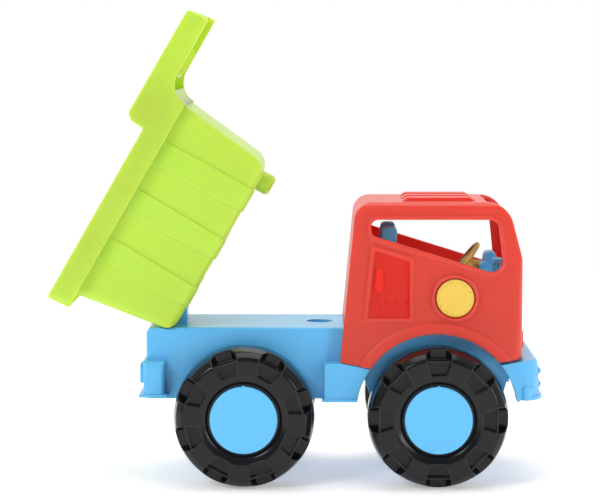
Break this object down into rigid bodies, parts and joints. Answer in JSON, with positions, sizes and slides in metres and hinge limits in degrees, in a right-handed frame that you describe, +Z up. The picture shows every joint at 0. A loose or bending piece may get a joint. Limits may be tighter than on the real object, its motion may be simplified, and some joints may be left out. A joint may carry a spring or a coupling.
{
  "type": "toy dump truck",
  "caption": "Toy dump truck with a tipping bed under a canopy, open cab with seats and steering wheel, big plastic wheels and side dials.",
  "frame": {"origin": "on the floor under the middle of the truck's box with the bed raised, on the centre plane", "axes": "+X towards the front bumper, +Y to the truck's left, +Z up"},
  "size_m": [0.4068, 0.1954, 0.3881],
  "materials": {
    "blue_plastic": "satin moulded plastic",
    "pale_blue_plastic": "satin moulded plastic",
    "green_plastic": "satin moulded plastic",
    "red_plastic": "satin moulded plastic",
    "yellow_plastic": "satin moulded plastic",
    "gold_plastic": "satin moulded plastic",
    "black_plastic": "glossy moulded plastic",
    "steel": "plated"
  },
  "bodies": {
    "truck": {"chassis": "blue_plastic", "cab_shell": "red_plastic", "cabin_insert": "pale_blue_plastic", "hinge_pin": "steel", "axle_front": "steel", "axle_rear": "steel", "push_nuts_front": "steel", "push_nuts_rear": "steel", "axle_clamp_front": "blue_plastic", "axle_clamp_rear": "blue_plastic", "clamp_screws": "steel", "cab_screws": "steel", "insert_screws": "steel"},
    "bed": {"dump_bed": "green_plastic"},
    "wheel_front_right": {"tyre_front_right": "black_plastic", "core_front_right": "blue_plastic", "hub_cap_front_right": "blue_plastic"},
    "wheel_front_left": {"tyre_front_left": "black_plastic", "core_front_left": "blue_plastic", "hub_cap_front_left": "blue_plastic"},
    "wheel_rear_right": {"tyre_rear_right": "black_plastic", "core_rear_right": "blue_plastic", "hub_cap_rear_right": "blue_plastic"},
    "wheel_rear_left": {"tyre_rear_left": "black_plastic", "core_rear_left": "blue_plastic", "hub_cap_rear_left": "blue_plastic"},
    "steering": {"steering_wheel": "gold_plastic"},
    "dial_right": {"dial_right": "yellow_plastic", "dial_clip_right": "steel"},
    "dial_left": {"dial_left": "yellow_plastic", "dial_clip_left": "steel"}
  },
  "joints": [
    {"name": "bed_tilt", "type": "hinge", "parent": "truck", "child": "bed", "pos_m": [-0.10677, 0, 0.1453], "axis": [0, 1, 0], "range_deg": [0, 60]},
    {"name": "wheel_front_right_spin", "type": "hinge", "parent": "truck", "child": "wheel_front_right", "pos_m": [0.11623, -0.075, 0.0575], "axis": [0, 1, 0], "continuous": true},
    {"name": "wheel_front_left_spin", "type": "hinge", "parent": "truck", "child": "wheel_front_left", "pos_m": [0.11623, 0.075, 0.0575], "axis": [0, 1, 0], "continuous": true},
    {"name": "wheel_rear_right_spin", "type": "hinge", "parent": "truck", "child": "wheel_rear_right", "pos_m": [-0.04177, -0.075, 0.0575], "axis": [0, 1, 0], "continuous": true},
    {"name": "wheel_rear_left_spin", "type": "hinge", "parent": "truck", "child": "wheel_rear_left", "pos_m": [-0.04177, 0.075, 0.0575], "axis": [0, 1, 0], "continuous": true},
    {"name": "steering_turn", "type": "hinge", "parent": "truck", "child": "steering", "pos_m": [0.15423, -0.021, 0.17], "axis": [-0.788, 0, 0.6157], "continuous": true},
    {"name": "dial_right_turn", "type": "hinge", "parent": "truck", "child": "dial_right", "pos_m": [0.13063, -0.06343, 0.15354], "axis": [0, -0.999, 0.0454], "continuous": true},
    {"name": "dial_left_turn", "type": "hinge", "parent": "truck", "child": "dial_left", "pos_m": [0.13063, 0.06343, 0.15354], "axis": [0, 0.999, 0.0454], "continuous": true}
  ]
}
